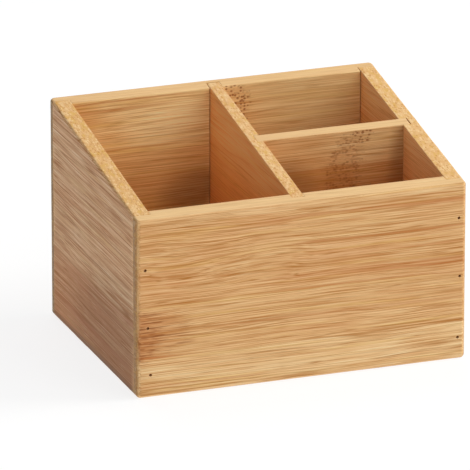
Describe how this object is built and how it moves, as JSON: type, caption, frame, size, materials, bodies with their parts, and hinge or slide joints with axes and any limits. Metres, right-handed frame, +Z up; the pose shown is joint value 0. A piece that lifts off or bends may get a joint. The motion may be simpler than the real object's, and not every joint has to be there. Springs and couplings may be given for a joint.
{
  "type": "desk organiser",
  "caption": "Open bamboo pen holder with a sloped rim, one full-depth compartment beside a rear and a front one.",
  "frame": {"origin": "middle of the footprint, on the surface that the organiser stands on", "axes": "+X along the width, towards the two small compartments; +Y from the low front to the high back; +Z up"},
  "size_m": [0.15, 0.115, 0.0998],
  "materials": {
    "wall_board": "fine sanded bamboo, clear matt lacquer",
    "side_board": "fine sanded bamboo, clear matt lacquer",
    "divider_board": "fine sanded bamboo, clear matt lacquer",
    "base_board": "sanded bamboo, thin clear lacquer",
    "pin_steel": "bright drawn wire, dulled"
  },
  "bodies": {
    "root": {"front_panel": "wall_board", "back_panel": "wall_board", "left_side_panel": "side_board", "right_side_panel": "side_board", "centre_divider": "divider_board", "cross_divider": "divider_board", "base_panel": "base_board", "front_left_pins": "pin_steel", "front_right_pins": "pin_steel", "back_left_pins": "pin_steel", "back_right_pins": "pin_steel"}
  },
  "joints": []
}
